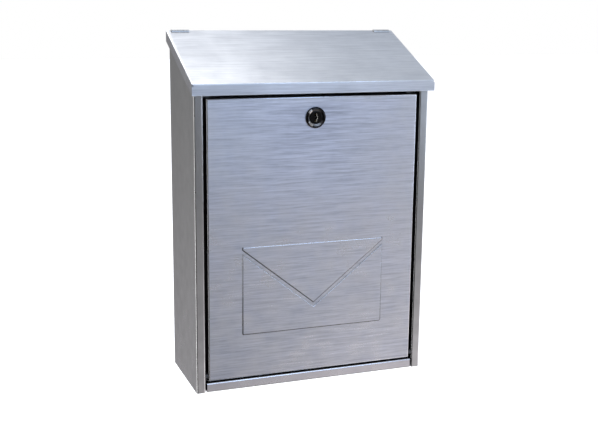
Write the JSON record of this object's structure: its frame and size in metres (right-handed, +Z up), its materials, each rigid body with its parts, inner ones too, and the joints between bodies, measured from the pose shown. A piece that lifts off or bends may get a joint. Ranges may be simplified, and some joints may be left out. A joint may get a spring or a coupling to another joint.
{
  "type": "wall mounted mailbox",
  "caption": "Upright box for a wall with a sloping hinged lid for letters, a drop-down front door with a raised envelope and a cam lock.",
  "frame": {"origin": "centre of the four wall holes, on the face that lies on the wall", "axes": "+X to the right seen from the front, +Y into the wall, +Z up"},
  "size_m": [0.277, 0.115, 0.39],
  "materials": {
    "brushed_stainless": "brushed",
    "bright_chrome": "polished",
    "plated_steel": "zinc plated",
    "brass": "plain",
    "nylon": "natural",
    "rubber": "matt"
  },
  "bodies": {
    "case": {"back_panel": "brushed_stainless", "left_side_panel": "brushed_stainless", "right_side_panel": "brushed_stainless", "floor_panel": "brushed_stainless", "top_rail": "brushed_stainless", "lid_hinge_leaf_left": "plated_steel", "lid_hinge_leaf_right": "plated_steel", "lid_hinge_pin_left": "plated_steel", "lid_hinge_pin_right": "plated_steel", "door_pivot_pin_left": "plated_steel", "door_pivot_pin_right": "plated_steel", "door_pivot_spacer_left": "nylon", "door_pivot_spacer_right": "nylon", "door_pivot_clip_left": "plated_steel", "door_pivot_clip_right": "plated_steel", "lid_buffer_left": "rubber", "lid_buffer_right": "rubber", "door_buffer_left": "rubber", "door_buffer_right": "rubber"},
    "lid": {"lid_panel": "brushed_stainless", "lid_hinge_wing_left": "plated_steel", "lid_hinge_wing_right": "plated_steel"},
    "door": {"door_panel": "brushed_stainless", "lock_housing": "bright_chrome", "lock_washer": "plated_steel", "lock_nut": "plated_steel"},
    "lock_plug": {"lock_plug": "bright_chrome", "lock_wafers": "brass", "lock_wafer_springs": "plated_steel", "lock_cam": "plated_steel", "cam_washer": "plated_steel", "cam_screw": "plated_steel"}
  },
  "joints": [
    {"name": "lid_hinge", "type": "hinge", "parent": "case", "child": "lid", "pos_m": [0, -0.0025, 0.1925], "axis": [-1, 0, 0], "range_deg": [0, 110]},
    {"name": "door_hinge", "type": "hinge", "parent": "case", "child": "door", "pos_m": [0, -0.1025, -0.1774], "axis": [1, 0, 0], "range_deg": [0, 110]},
    {"name": "lock_turn", "type": "hinge", "parent": "door", "child": "lock_plug", "pos_m": [0, -0.107, 0.1044], "axis": [0, -1, 0], "range_deg": [0, 90]}
  ]
}
